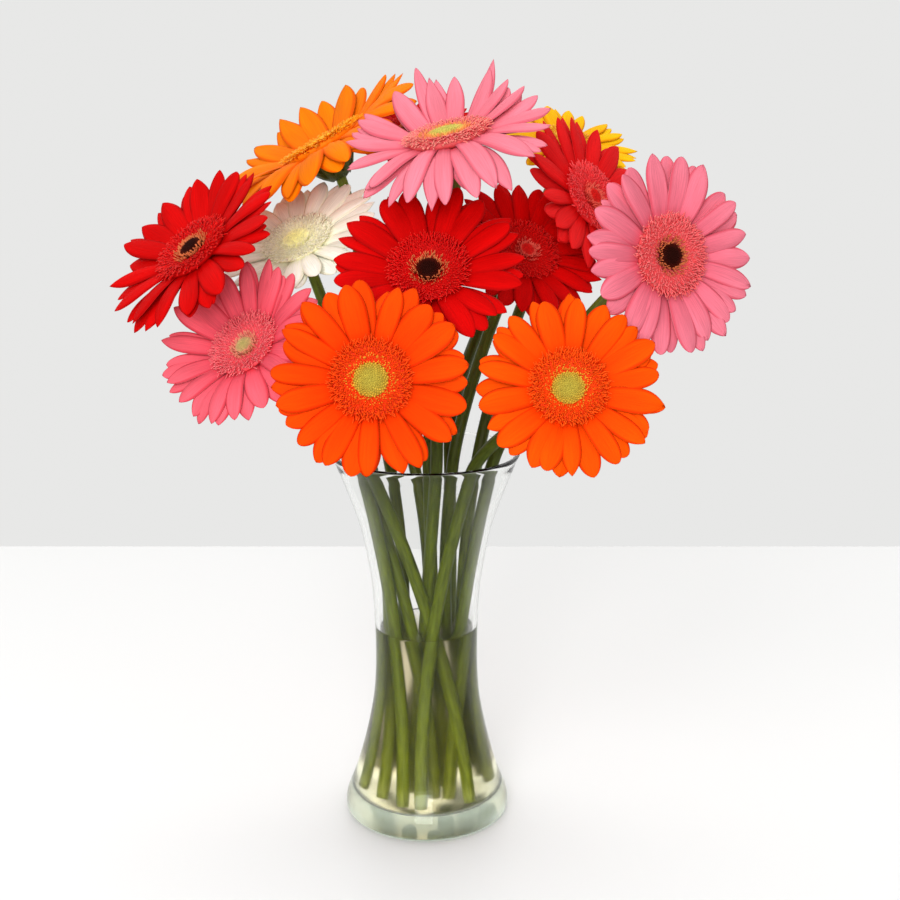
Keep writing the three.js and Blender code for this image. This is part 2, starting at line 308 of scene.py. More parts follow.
# points of the rim, from where the water's level meets the wall
BRIM = np.array([(0, 0), (0, 1.3), (-0.5, 0.7), (-1.2, 0.25), (-2.4, 0)])
wet_wall = between(moved_in(outer_wall, WALL - CLING), INNER_WALL_FROM, WATER_LEVEL - 1)
brim_radius = np.interp(WATER_LEVEL, outer_wall[:, 1], outer_wall[:, 0]) - WALL + CLING
water_profile = np.concatenate([
    [(0, VASE_FLOOR - CLING), (20, VASE_FLOOR - CLING)],
    FLOOR_EDGE[::-1] + (CLING, -CLING),
    wet_wall,
    BRIM + (brim_radius, WATER_LEVEL),
    [(12, WATER_LEVEL), (0, WATER_LEVEL)],
])
clear_water = clear_finish(
    "clear_water", shade=(0.94, 0.94, 0.86), bend=1.3, haze=0.27, depth_colour=(0.86, 0.76, 0.42), density=22)
lay_skins("water_body", [turned(water_profile, VASE_COLUMNS)], clear_water, ["water"])


# The flowers as the bunch is arranged. eye is the middle of a face, and facing its azimuth to the right of
# the front and its elevation, in degrees. reach is the head's radius, and cup and bend shape the bowl of its
# petals. The stem passes the mouth, the waist and the floor of the vase at a radius and an angle.
FLOWERS = {
    "orange_front_left": dict(eye=(-26, -100, 291), facing=(0, 20), reach=51.5, cup=9, bend=0,
                              mouth=(41.8, 225), waist=(17.4, 301), foot=(34.8, 315)),
    "orange_front_right": dict(eye=(76, -91, 285), facing=(0, 26), reach=49.5, cup=9, bend=0,
                               mouth=(42, 308), waist=(23.5, 273), foot=(32.8, 265)),
    "pink_right": dict(eye=(133, -45, 349), facing=(27, 11), reach=54.5, cup=6, bend=-2,
                       mouth=(41.5, 338), waist=(19.2, 345), foot=(22.1, 302)),
    "red_centre": dict(eye=(3, -54, 342), facing=(-4, 42), reach=53, cup=9, bend=0,
                       mouth=(33.9, 281), waist=(3.6, 232), foot=(11.8, 226)),
    "pink_top": dict(eye=(13, -14, 412), facing=(-50, 73), reach=59, cup=3, bend=25,
                     mouth=(14.1, 278), waist=(5.9, 37), foot=(8.2, 13)),
    "red_left": dict(eye=(-129, -20, 350), facing=(-50, 47), reach=56, cup=5, bend=9,
                     mouth=(39.2, 184), waist=(12.2, 247), foot=(15, 285)),
    "pink_left": dict(eye=(-97, -50, 300), facing=(-36, 42), reach=49, cup=9, bend=14,
                      mouth=(41.1, 207), waist=(22.7, 226), foot=(32.4, 246)),
    "amber_top_left": dict(eye=(-63, 69, 405), facing=(-84, 60), reach=67, cup=9, bend=22,
                           mouth=(38.4, 129), waist=(17.2, 149), foot=(33.2, 221)),
    "cream_left": dict(eye=(-76, 28, 351), facing=(-32, 55), reach=53, cup=5, bend=0,
                       mouth=(36, 161), waist=(23.4, 187), foot=(34.6, 190)),
    "yellow_back_right": dict(eye=(91, 122, 407), facing=(30, 66), reach=47, cup=3, bend=4,
                              mouth=(32.2, 64), waist=(22.7, 49), foot=(34.2, 69)),
    "red_upper_right": dict(eye=(100, 47, 375), facing=(50, 28), reach=55, cup=4, bend=0,
                            mouth=(32.6, 18), waist=(22.4, 10), foot=(31.3, 7)),
    "red_middle_right": dict(eye=(59, 13, 346), facing=(26, 38), reach=47, cup=5, bend=0,
                             mouth=(16.6, 346), waist=(14.9, 30), foot=(27.7, 30)),
    "red_back": dict(eye=(-10, 106, 414), facing=(-10, 66), reach=44, cup=4, bend=2,
                     mouth=(33.5, 107), waist=(21, 90), foot=(28.4, 129)),
}
HEAD_REACH = 50
ROOT_RADIUS = 12.4


def head_axes(flower):
    """The directions across a head, up its face and forward, as the rows of a matrix."""
    azimuth, elevation = np.radians(flower["facing"])
    forward = np.array([
        np.sin(azimuth) * np.cos(elevation), -np.cos(azimuth) * np.cos(elevation), np.sin(elevation)])
    across = np.cross((0, 0, 1), forward)
    across /= np.linalg.norm(across)
    return np.stack([across, np.cross(forward, across), forward])


def on_head(points, flower):
    """Points given round the middle of a head of reach 50 that faces +Z, put in place on their flower."""
    size = flower["reach"] / HEAD_REACH
    return points @ head_axes(flower) * size + flower["eye"]


# The stems: bare, juicy, finely ribbed scapes covered with short soft hairs, cut square and standing on the
# floor of the vase. Over its mouth each becomes a neck that bends to the back of its head.
STEM_SEED = 100
STEM_RADIUS = 3.85
STEM_SEAT = 0.3
STEM_INSET = 0.1
STEM_TAPER = 0.5
CUT_EDGE = 0.93
RIBS = 7
RIB_HEIGHT = 0.035
RIB_TWIST = 2
STEM_COLUMNS = 20
BOW_ROWS = 48
NECK_ROWS = 40
MOUTH_LEVEL = 222
WAIST_LEVEL = 100
NECK_BACK = 10
NECK_RISE = 0.3
NECK_BEND = 0.18
HAIRS = 420
HAIR_LENGTH = (1.3, 2.1)
HAIR_LEAN = (0, 0.9)
HAIR_RADIUS = 0.07
HAIR_SINK = 0.75
HAIR_FOOT = 0.3
HAIR_MARK = (0.9, 0, 0.9)


def bezier(points, t):
    """The Bezier curve of the points at each t: the points weighted by the terms of ((1 - t) + t)^n."""
    n = len(points) - 1
    t = t[:, None]
    return sum(math.comb(n, k) * (1 - t)**(n - k) * t**k * np.asarray(p) for k, p in enumerate(points))


def stem_line(flower):
    """The centreline of a stem: a gentle bow from the floor past the waist to the mouth, then a neck that
    keeps the bow's direction at first and meets the back of the head squarely."""
    def passing(place, height):
        radius, degrees = flower[place]
        return at_angle(radius, np.radians(degrees), height)

    foot = passing("foot", VASE_FLOOR + STEM_SEAT)
    waist = passing("waist", WAIST_LEVEL)
    mouth = passing("mouth", MOUTH_LEVEL)
    t = (WAIST_LEVEL - foot[2]) / (MOUTH_LEVEL - foot[2])
    bow = (waist - (1 - t)**2 * foot - t**2 * mouth) / (2 * t * (1 - t))
    lean = (bow - foot) / np.linalg.norm(bow - foot)
    foot = foot + lean * STEM_RADIUS * np.hypot(lean[0], lean[1]) / lean[2]
    forward = head_axes(flower)[2]
    head = np.array(flower["eye"]) - forward * NECK_BACK * flower["reach"] / HEAD_REACH
    span = np.linalg.norm(head - mouth)
    rise = (mouth - bow) / np.linalg.norm(mouth - bow)
    neck = [mouth, mouth + rise * span * NECK_RISE, head - forward * span * NECK_BEND, head]
    lower = bezier([foot, bow, mouth], np.linspace(0, 1, BOW_ROWS))
    return np.concatenate([lower[:-1], bezier(neck, np.linspace(0, 1, NECK_ROWS))])


def stem_frame(line, flower):
    """The line's direction at each row, and two directions at right angles to it. The first starts from the
    direction across the head, so that it never turns sharply."""
    along = np.gradient(line, axis=0)
    along /= np.linalg.norm(along, axis=1)[:, None]
    across = head_axes(flower)[0]
    side = across - (along @ across)[:, None] * along
    side /= np.linalg.norm(side, axis=1)[:, None]
    return along, side, np.cross(along, side)


def stem_skin(line, flower, phase):
    """Rings round the line: a circle with seven low ribs that wind a little. It thins towards the neck."""
    along, side, third = stem_frame(line, flower)
    share = np.linspace(0, 1, len(line))[:, None]
    angle = np.arange(STEM_COLUMNS) * 2 * np.pi / STEM_COLUMNS
    ribs = RIB_HEIGHT * np.cos(RIBS * angle + phase + RIB_TWIST * share)
    radius = (STEM_RADIUS - STEM_INSET - STEM_TAPER * share**2) * (1 + ribs)
    radius[0] *= CUT_EDGE
    around = np.cos(angle)[:, None] * side[:, None] + np.sin(angle)[:, None] * third[:, None]
    rings = line[:, None] + radius[..., None] * around
    marks = np.stack(np.broadcast_arrays(share, angle / np.pi - 1, phase / RIBS), axis=-1)
    ends = np.array([[(0, 0, 1), (1, 0, phase / RIBS)]])
    return rings[None], np.array([[line[0], line[-1]]]), marks[None], ends


def one_mark(rings, poles, mark):
    """Skins with the same mark at every point."""
    return rings, poles, np.broadcast_to(mark, rings.shape), np.broadcast_to(mark, poles.shape)


def hair_skins(line, flower, rng):
    """Fine hairs on the part of the stem that is out of the water: three-sided spikes that lean upwards."""
    along, side, third = stem_frame(line, flower)
    row = rng.integers(BOW_ROWS // 2, len(line) - 4, HAIRS)
    angle = rng.uniform(0, 2 * np.pi, HAIRS)[:, None]
    out = np.cos(angle) * side[row] + np.sin(angle) * third[row]
    shift = rng.uniform(0, 1, HAIRS)[:, None]
    start = line[row] * (1 - shift) + line[row + 1] * shift + out * (STEM_RADIUS - HAIR_SINK)
    tip = start + out * rng.uniform(*HAIR_LENGTH, HAIRS)[:, None]
    tip = tip + along[row] * rng.uniform(*HAIR_LEAN, HAIRS)[:, None]
    turn = (np.arange(3) * 2 * np.pi / 3)[:, None]
    wide = np.cross(out, along[row])
    around = np.cos(turn) * along[row][:, None] - np.sin(turn) * wide[:, None]
    ring = start[:, None] + HAIR_RADIUS * around + HAIR_FOOT * out[:, None]
    return one_mark(ring[:, None], np.stack([start, tip], 1), HAIR_MARK)


def mark_parts(tree):
    """The piece's own mark attribute, split into its three numbers."""
    mark = add_node(tree, "Attribute", {})
    mark.attribute_name = "mark"
    return add_node(tree, "SeparateXYZ", {0: mark.outputs["Vector"]}).outputs


def ramp(tree, source, stops):
    """A colour that runs through the stops, each a place from 0 to 1 and a colour, as source grows."""
    node = add_node(tree, "ValToRGB", {0: source})
    elements = node.color_ramp.elements
    while len(elements) < len(stops):
        elements.new(0.5)
    for element, (place, colour) in zip(elements, stops):
        element.position = place
        element.color = (*colour, 1)
    return node.outputs[0]


def streaks(tree, parts, stretch, scale, detail):
    """Noise drawn out along the piece: its marks, each times its own stretch, are the noise's place."""
    place = add_node(tree, "CombineXYZ", {
        index: add_node(tree, "Math", {0: parts[index], 1: times}, "MULTIPLY").outputs[0]
        for index, times in enumerate(stretch)})
    noise = add_node(tree, "TexNoise", {"Vector": place.outputs[0], "Scale": scale, "Detail": detail})
    return noise.outputs["Fac"]


def mixed(tree, blend, factor, first, second):
    """The second colour laid over the first, or multiplied by it, as far as the factor says."""
    mix = tree.nodes.new("ShaderNodeMix")
    mix.data_type = "RGBA"
    mix.blend_type = blend
    feed(tree, mix, {"Factor": factor, "A": first, "B": second})
    return mix.outputs["Result"]


def shaded(tree, colour, factor, low, high):
    """The colour times a number that goes from low to high as the factor goes from 0.3 to 0.7."""
    return mixed(tree, "MULTIPLY", 1, colour, map_range(tree, factor, (0.3, low), (0.7, high)))


def bumped(tree, shader, height, strength, distance):
    """A fine relief on the shader, as high as the height says."""
    bump = add_node(tree, "Bump", {"Strength": strength, "Distance": distance, "Height": height})
    feed(tree, shader, {"Normal": bump.outputs[0]})


def stem_finish():
    """Olive green, paler at the cut foot and the neck, darkest just over the vase's mouth, where painted
    shade stands for the shadow under the heads; with fine lengthwise streaks and a faint waxy shine."""
    material, tree, shader = new_material("green_stem", {"Roughness": 0.42, "Specular IOR Level": 0.2})
    parts = mark_parts(tree)
    # painted shade: the darkest band, from just over the mouth up the lower neck, for the shadow under the
    # heads
    green = ramp(tree, parts[0], [
        (0.0, (0.30, 0.33, 0.08)), (0.03, (0.17, 0.20, 0.010)), (0.25, (0.095, 0.118, 0.003)),
        (0.48, (0.078, 0.10, 0.003)), (0.56, (0.045, 0.06, 0.003)), (0.8, (0.07, 0.10, 0.006)),
        (1.0, (0.16, 0.22, 0.02))])
    broad = streaks(tree, parts, stretch=(14, 3, 9), scale=2.2, detail=4)
    fine = streaks(tree, parts, stretch=(30, 24, 9), scale=2.0, detail=2)
    tinted = shaded(tree, shaded(tree, green, broad, 0.62, 1.3), fine, 0.88, 1.1)
    feed(tree, shader, {"Base Color": tinted})
    bumped(tree, shader, fine, strength=0.35, distance=0.0004)
    return material


green_stem = stem_finish()
for number, (name, flower) in enumerate(FLOWERS.items()):
    rng = np.random.default_rng(STEM_SEED + number)
    line = stem_line(flower)
    batches = [stem_skin(line, flower, rng.uniform(0, 6)), hair_skins(line, flower, rng)]
    lay_skins(f"scape_{name}", batches, green_stem, [f"stem_{name}"])


# The green cups: each head sits in a cup of three rows of narrow pointed bracts that overlap like tiles. The
# inner rows reach up behind the petals.
CUP_SEED = 200
CUP_COLUMNS = 32
CUP_PROFILE = np.array([
    (0, -17), (2.4, -16.8), (3.6, -16), (6.2, -13.2), (8.6, -9.6), (10.2, -6.6), (10.6, -4.4), (0, -4)])
# the cup's place on the stem's colour ramp, inside its band of painted shade under the heads
CUP_MARK = (0.7, 0, 0.4)
BRACT_PATH = np.array([(3.7, -16.3), (6.8, -13.2), (9.4, -9.6), (11, -6.6), (11.7, -4.2)])
# where a row of bracts starts and ends on the path, how far it stands off the cup, and how many there are
BRACT_LAYERS = [(0.0, 0.52, 0.9, 11), (0.18, 0.78, 0.6, 13), (0.42, 1.0, 0.25, 15)]
BRACT_ROWS = 7
BRACT_COLUMNS = 8
BRACT_WIDTH = 4.6
BRACT_THICK = 0.28
BRACT_SWING = 0.15
BRACT_STAND = 0.9
# the bracts' ends' place on the stem's colour ramp, inside its band of painted shade
BRACT_END_MARK = (0.6, 0, 0.5)


def lens(columns):
    """A thin closed section: across it from -1 to 1 and back, and its height, which is 0 at both edges."""
    angle = np.arange(columns) * 2 * np.pi / columns
    return np.cos(angle), np.sin(angle)


def bract_skins(start, end, off, count, rng):
    """A row of bracts round the cup. Each follows the cup's path from start to end, widest at a third of its
    length, and its tip stands off a little."""
    t = np.linspace(0.02, 0.98, BRACT_ROWS)
    stops = np.linspace(0, 1, len(BRACT_PATH))
    flat, high = lens(BRACT_COLUMNS)
    turn = (np.arange(count) + rng.uniform(-BRACT_SWING, BRACT_SWING, count)) * 2 * np.pi / count
    stand = off + rng.uniform(0, BRACT_STAND, count)[:, None] * t**3

    def round_cup(t, stand, flat, high, width):
        place = start + (end - start) * t
        radius = np.interp(place, stops, BRACT_PATH[:, 0]) + stand
        height = np.interp(place, stops, BRACT_PATH[:, 1])
        angle = turn[:, None, None] - flat * (width / radius)[..., None]
        thick = BRACT_THICK * high * np.sin(np.pi * np.clip(t, 0.05, 0.97))[:, None]
        return at_angle(radius[..., None] + thick, angle, height[:, None])

    rings = round_cup(t, stand, flat, high, BRACT_WIDTH / 2 * np.sin(np.pi * t**0.62))
    ends = round_cup(np.array([0, 1]), stand[:, [0, -1]], flat[:1], 0, 0.0)[:, :, 0]
    tone = rng.uniform(0, 1, count)[:, None, None]
    # places on the stem's colour ramp: painted shade at the bracts' feet, paler green towards their tips
    marks = np.stack(np.broadcast_arrays(0.55 + 0.4 * t[:, None], flat, tone), axis=-1)
    return rings, ends, marks, np.broadcast_to(BRACT_END_MARK, ends.shape)


def set_on_head(batches, flower):
    """Batches of skins made round the middle of a head, put in place on their flower."""
    return [(on_head(rings, flower), on_head(poles, flower), *marks) for rings, poles, *marks in batches]


for number, (name, flower) in enumerate(FLOWERS.items()):
    rng = np.random.default_rng(CUP_SEED + number)
    batches = [one_mark(*turned(CUP_PROFILE, CUP_COLUMNS), CUP_MARK)]
    batches += [bract_skins(*layer, rng) for layer in BRACT_LAYERS]
    lay_skins(f"cup_{name}", set_on_head(batches, flower), green_stem, [f"stem_{name}"])


# The petals: ray florets in two full layers and a few stragglers under them. Each is a thin soft strap that
# widens to a blunt or pointed tip, with two shallow grooves along it, and grows out of the head under the
# fringe. Colours are for the root, darker in part as painted shade under the fringe, the middle, the tip
# and the rim, a paler painted highlight.
PETAL_SEED = 300
PETAL_COLOURS = {
    "orange": [(0.76, 0.022, 0.0004), (0.89, 0.048, 0.0006), (0.89, 0.060, 0.0006), (0.96, 0.19, 0.008)],
    "tangerine": [(0.76, 0.027, 0.0004), (0.90, 0.060, 0.0006), (0.90, 0.076, 0.0006), (0.97, 0.22, 0.008)],
    "amber": [(0.80, 0.085, 0.0006), (0.90, 0.165, 0.0008), (0.91, 0.20, 0.0008), (0.96, 0.32, 0.01)],
    "yellow": [(0.85, 0.28, 0.001), (0.91, 0.42, 0.002), (0.93, 0.50, 0.004), (0.95, 0.6, 0.03)],
    "pink": [(0.72, 0.10, 0.15), (0.82, 0.175, 0.23), (0.83, 0.215, 0.28), (0.90, 0.37, 0.45)],
    "rose": [(0.72, 0.08, 0.125), (0.83, 0.155, 0.22), (0.84, 0.195, 0.265), (0.90, 0.36, 0.43)],
    "deep_pink": [(0.66, 0.04, 0.065), (0.80, 0.088, 0.125), (0.82, 0.118, 0.158), (0.88, 0.27, 0.32)],
    "red": [(0.44, 0.001, 0.001), (0.58, 0.001, 0.001), (0.59, 0.001, 0.001), (0.72, 0.015, 0.015)],
    "scarlet": [(0.60, 0.003, 0.004), (0.74, 0.008, 0.009), (0.78, 0.012, 0.013), (0.85, 0.05, 0.05)],
    "cream": [(0.94, 0.94, 0.70), (0.97, 0.98, 0.82), (0.98, 0.99, 0.87), (0.99, 0.99, 0.9)],
}
PETAL_DRESS = {
    "orange_front_left": "orange", "orange_front_right": "tangerine", "pink_right": "rose",
    "red_centre": "red", "pink_top": "pink", "red_left": "red", "pink_left": "deep_pink",
    "amber_top_left": "amber", "cream_left": "cream", "yellow_back_right": "yellow",
    "red_upper_right": "scarlet", "red_middle_right": "red", "red_back": "red",
}
# width and how pointed the tips are, from 0, round, to 1
PETAL_CUT = {
    "orange": (13.9, 0.2), "tangerine": (13.7, 0.18), "amber": (14.2, 0.4), "yellow": (12.4, 0.6),
    "pink": (11.8, 0.45), "rose": (12.8, 0.2), "deep_pink": (12.9, 0.3), "red": (12.8, 0.4),
    "scarlet": (12.6, 0.45), "cream": (12.8, 0.45),
}
PETAL_ROWS = 18
PETAL_COLUMNS = 16
PETAL_ROOT = 8.0
PETAL_THICK = 0.5
PETAL_FOOT = 0.34
PETAL_WIDEST = 0.64
BLUNT_SHIFT = 0.06
PETAL_DIP = 0.8
# the painted shade along a petal's edges is its root colour times this
EDGE_SHADE = 0.86
TIP_CROWDING = 0.55
# height, number, offset of the first as a share of the spacing, and least length of each layer
PETAL_LAYERS = [(-1.7, 15, 0.25, 0.93), (-3.7, 15, 0.75, 0.94), (-4.5, 6, 0.4, 0.88)]
# long slender petals that stand out of their head: their angles, and the least and the most that they reach
STRAY_PETALS = {"pink_top": ([102, 148], 1.07, 1.09)}
STRAY_LEVEL = -1.2
STRAY_CUT = (10, 0.5)


def bowl(points, flower):
    """The points of a flat head lifted to the flower's bowl: beyond the petals' roots by the cup times a
    quarter sine of the share of the way out, and by the bend times the square of that share and how far up
    the slope they point."""
    across, upward, _ = head_axes(flower)
    radius = np.hypot(points[..., 0], points[..., 1])
    share = np.maximum(radius - ROOT_RADIUS, 0) / (HEAD_REACH - ROOT_RADIUS)
    away = (across[1] * points[..., 0] + upward[1] * points[..., 1]) / np.maximum(radius, 1e-6)
    lift = flower["cup"] * np.sin(np.minimum(share, 1.05) * np.pi / 2) + flower["bend"] * away * share**2
    bent = points.copy()
    bent[..., 2] += lift * HEAD_REACH / flower["reach"]
    return bent


def set_in_bowl(batches, flower):
    """Batches of skins made round the middle of a flat head, given their flower's bowl and put in place."""
    bent = [(bowl(rings, flower), bowl(poles, flower), *marks) for rings, poles, *marks in batches]
    return set_on_head(bent, flower)


def drawer(rng, count):
    """A function that draws one number between two limits for each of count florets."""
    return lambda low, high: rng.uniform(low, high, count)[:, None, None]


def floret_skins(surface, u, section, tone):
    """Closed skins of a surface, given as a function of the place u along a floret and of the section's
    place across and height. Their poles are on the middle line at u 0 and 1. Their marks are u, the place
    across and the floret's tone."""
    def marked(u, flat, high):
        return surface(u, flat, high), np.stack(np.broadcast_arrays(u, flat, tone), axis=-1)

    flat, high = section
    rings, marks = marked(u[:, None], flat, high)
    ends, end_marks = marked(np.array([[0.0], [1.0]]), 0 * flat[:1], 0 * high[:1])
    return rings, ends[:, :, 0], marks, end_marks[:, :, 0]


def petal_skins(level, turns, shortest, longest, width, point, rng):
    """One layer of petals. Along a petal its half width grows with a quarter sine to two thirds of the way
    and then falls to 0 like the end of an ellipse, sharper where the tips are pointed. Across it, the section
    is a thin lens bent down at the edges, with two grooves. Its middle line dips at the root, then rises with
    the square of the way along, arches by a half sine and curls at the tip, which a cosine across it notches.
    Each petal has its own length, width, roll, lift, sway, arch and curl."""
    each = drawer(rng, len(turns))
    turn = turns[:, None, None] + each(-0.105, 0.105)
    reach = HEAD_REACH * each(shortest, longest)
    wide = width / 2 * each(0.78, 1.08)
    sharp = np.clip(point + each(-0.25, 0.25), 0, 1)
    roll, twist = each(-0.13, 0.13), each(-0.19, 0.19)
    lift, sway = each(-1.0, 1.3), each(-2, 2)
    arch, curl = each(-0.3, 1.5), each(-1.6, 1.2)
    camber, groove = each(0.5, 1.7), each(0.15, 0.42)
    notch, tone = each(-0.5, 1.8), each(0, 1)
    widest = PETAL_WIDEST + BLUNT_SHIFT * (1 - sharp)

    def surface(u, flat, high):
        rise = PETAL_FOOT + (1 - PETAL_FOOT) * np.sin(np.pi / 2 * np.minimum(u / widest, 1))
        past = np.clip((u - widest) / (1 - widest), 0, 1)
        half = wide * rise * np.maximum(1 - past**(2.3 - 0.7 * sharp), 0) ** (0.5 + 0.32 * sharp)
        out = PETAL_ROOT + (reach - PETAL_ROOT) * u
        out = out + notch * u**14 * np.cos(2.4 * np.pi * flat)
        side = half * flat
        height = level - PETAL_DIP * (1 - u)**3 + lift * u**2 + arch * np.sin(np.pi * u) + curl * u**5
        height = height - camber * (0.4 * flat**2 + 0.55 * flat**6) * half / wide
        height = height + side * (roll + twist * u**2)
        height = height + groove * np.cos(3 * np.pi * flat) * np.sin(np.pi * u) * (1 - flat**2)
        height = height + PETAL_THICK / 2 * high * np.minimum(1, half / wide + 0.2)
        return at_angle(out, turn, height, side + sway * (out / HEAD_REACH)**2)

    t = np.linspace(0.02, 0.975, PETAL_ROWS)
    u = (1 - TIP_CROWDING) * t + TIP_CROWDING * (1 - (1 - t)**2)
    return floret_skins(surface, u, lens(PETAL_COLUMNS), tone)


def petal_finish(name, root, middle, tip, rim):
    """Soft matt petal: the colour runs from root to tip, fine veins run along it, a band of painted shade
    lies along its edges where neighbouring petals would shadow it, and its rim is a paler painted highlight."""
    material, tree, shader = new_material(f"petal_{name}", {"Roughness": 0.7, "Specular IOR Level": 0.03})
    parts = mark_parts(tree)
    # root to tip: the root's hue is the petal's own, its darkness partly painted shade under the fringe
    body = ramp(tree, parts[0], [(0.1, root), (0.42, middle), (0.85, tip), (1.0, tip)])
    veins = streaks(tree, parts, stretch=(2.2, 11, 40), scale=1.6, detail=3)
    tones = streaks(tree, parts, stretch=(0.8, 0.5, 60), scale=1.3, detail=0)
    veined = shaded(tree, shaded(tree, body, veins, 0.84, 1.1), tones, 0.88, 1.08)
    edge = add_node(tree, "Math", {0: parts[1]}, "ABSOLUTE").outputs[0]
    # painted shade along the edges: the root colour made darker, for the shadow of overlapping petals
    darker = [EDGE_SHADE * part for part in root]
    edge_shaded = mixed(tree, "MIX", map_range(tree, edge, (0.7, 0), (0.9, 0.85)), veined, (*darker, 1))
    # painted highlight: the paler rim colour along the very edge stands for light catching it
    rim_highlighted = mixed(tree, "MIX", map_range(tree, edge, (0.94, 0), (1.0, 0.6)), edge_shaded, (*rim, 1))
    feed(tree, shader, {"Base Color": rim_highlighted})
    bumped(tree, shader, veins, strength=0.3, distance=0.0005)
    return material


petal_finishes = {name: petal_finish(name, *colours) for name, colours in PETAL_COLOURS.items()}
for number, (name, flower) in enumerate(FLOWERS.items()):
    rng = np.random.default_rng(PETAL_SEED + number)
    dress = PETAL_DRESS[name]
    batches = []
    for level, count, offset, shortest in PETAL_LAYERS:
        turns = (np.arange(count) + offset) * 2 * np.pi / count
        batches.append(petal_skins(level, turns, shortest, 1.0, *PETAL_CUT[dress], rng))
    if name in STRAY_PETALS:
        angles, shortest, longest = STRAY_PETALS[name]
        batches.append(petal_skins(STRAY_LEVEL, np.radians(angles), shortest, longest, *STRAY_CUT, rng))
    batches = set_in_bowl(batches, flower)
    lay_skins(f"rays_{name}", batches, petal_finishes[dress], [f"petals_{name}"])


# The fringes: round each eye stand rings of short narrow florets of the petals' colour, whose pale tips curl
# outwards over the petals. They grow out of the same head.
FRINGE_SEED = 400
EYES = {
    "orange_front_left": "green", "orange_front_right": "green", "pink_right": "dark", "red_centre": "dark",
    "pink_top": "lime", "red_left": "dark", "pink_left": "olive", "amber_top_left": "golden",
    "cream_left": "pale", "yellow_back_right": "golden", "red_upper_right": "crimson",
    "red_middle_right": "crimson", "red_back": "dark",
}
EYE_RADII = {"green": 8.6, "lime": 9.2, "golden": 6.5, "olive": 5.0, "pale": 7.6, "dark": 5.9, "crimson": 4.2}
# root, middle and tip of each dress's florets; the dark root is painted shade between their feet
FRINGE_COLOURS = {
    "orange": [(0.80, 0.028, 0.001), (0.89, 0.055, 0.001), (0.94, 0.125, 0.008)],
    "tangerine": [(0.84, 0.036, 0.001), (0.91, 0.070, 0.001), (0.95, 0.16, 0.01)],
    "amber": [(0.92, 0.20, 0.001), (0.96, 0.32, 0.004), (0.97, 0.50, 0.04)],
    "yellow": [(0.75, 0.2, 0.002), (0.88, 0.40, 0.006), (0.92, 0.55, 0.1)],
    "pink": [(0.74, 0.09, 0.10), (0.88, 0.18, 0.17), (0.96, 0.46, 0.32)],
    "rose": [(0.74, 0.06, 0.065), (0.90, 0.125, 0.135), (0.95, 0.32, 0.28)],
    "deep_pink": [(0.82, 0.07, 0.09), (0.93, 0.13, 0.16), (0.96, 0.36, 0.33)],
    "red": [(0.50, 0.001, 0.001), (0.72, 0.002, 0.002), (0.80, 0.045, 0.03)],
    "scarlet": [(0.74, 0.014, 0.016), (0.92, 0.05, 0.055), (0.95, 0.12, 0.12)],
    "cream": [(0.98, 0.95, 0.62), (0.99, 0.97, 0.74), (0.99, 0.98, 0.82)],
}
FRINGE_ROWS = 4
FRINGE_COLUMNS = 3
FRINGE_COUNT = 840
FRINGE_GAP = 0.7
FRINGE_OUTER = 18.6
FRINGE_THICK = 0.22
FRINGE_SINK = 0.5
GOLDEN_ANGLE = np.pi * (3 - 5**0.5)
CUSHION_INNER = 6.6
CUSHION_OUTER = 20
CUSHION_HEIGHT = 2.5
CORE_COLUMNS = 32
# the core under the florets: its underside, the radii of its top and how far this lies under the cushion
CORE_UNDERSIDE = [(0, -5.5), (8, -5.5), (12.5, -4.0), (18.6, -1.6)]
CORE_RADII = np.linspace(19.6, 7, 12)
CORE_SINK = 0.3
CORE_MIDDLE = [(0, 0.4)]
# the core's place on the fringe's colour ramp, near its dark start: it carries the same painted shade
CORE_MARK = (0.2, 0, 0.5)


def cushion(radius):
    """Height of the raised ring that the fringe stands on: a flattened sine from the eye's edge outwards."""
    share = np.clip((radius - CUSHION_INNER) / (CUSHION_OUTER - CUSHION_INNER), 0, 1)
    return CUSHION_HEIGHT * np.sin(np.pi * share)**0.7


def fringe_skins(inner, rng):
    """Florets spread over the ring at golden angles. Each is a narrow lens carried along a path that leaves
    the cushion at a slope, steep near the eye and flatter outside, and curls outwards. It ends in a point."""
    each = drawer(rng, FRINGE_COUNT)
    number = np.arange(FRINGE_COUNT)[:, None, None]
    place = (number + 0.5) / FRINGE_COUNT
    root = np.sqrt(inner**2 + (FRINGE_OUTER**2 - inner**2) * place) + each(-0.4, 1.5) * place**3
    turn = number * GOLDEN_ANGLE
    slope = np.radians(16 + 42 * place + each(-28, 28))
    length = each(1.3, 2.1) + 1.3 * place
    half = each(0.28, 0.44) + 0.26 * place
    lean = each(-1.2, 1.2) * (1 + place)
    tone = each(0, 1)

    def surface(u, flat, high):
        out = root + length * (np.sin(slope) * u + 0.3 * u**2) - FRINGE_THICK * high * np.cos(slope)
        height = cushion(root) - FRINGE_SINK + length * (np.cos(slope) * u - 0.35 * u**2)
        height = height + FRINGE_THICK * high * np.sin(slope)
        side = half * (0.75 + 0.7 * u) * (1 - u**4) * flat + lean * u**1.5
        return at_angle(out, turn, height, side)

    return floret_skins(surface, np.linspace(0.05, 0.93, FRINGE_ROWS), lens(FRINGE_COLUMNS), tone)


def fringe_finish(name, root, middle, tip):
    """Painted shade between the florets' feet, the petals' colour above, and pale at the tips."""
    material, tree, shader = new_material(f"fringe_{name}", {"Roughness": 0.6, "Specular IOR Level": 0.1})
    parts = mark_parts(tree)
    # painted shade: the dark root colour at the florets' feet stands for the shade between them
    body = ramp(tree, parts[0], [(0.1, root), (0.5, middle), (0.8, middle), (0.97, tip)])
    tones = streaks(tree, parts, stretch=(1, 0.5, 70), scale=1.3, detail=1)
    feed(tree, shader, {"Base Color": shaded(tree, body, tones, 0.75, 1.2)})
    return material


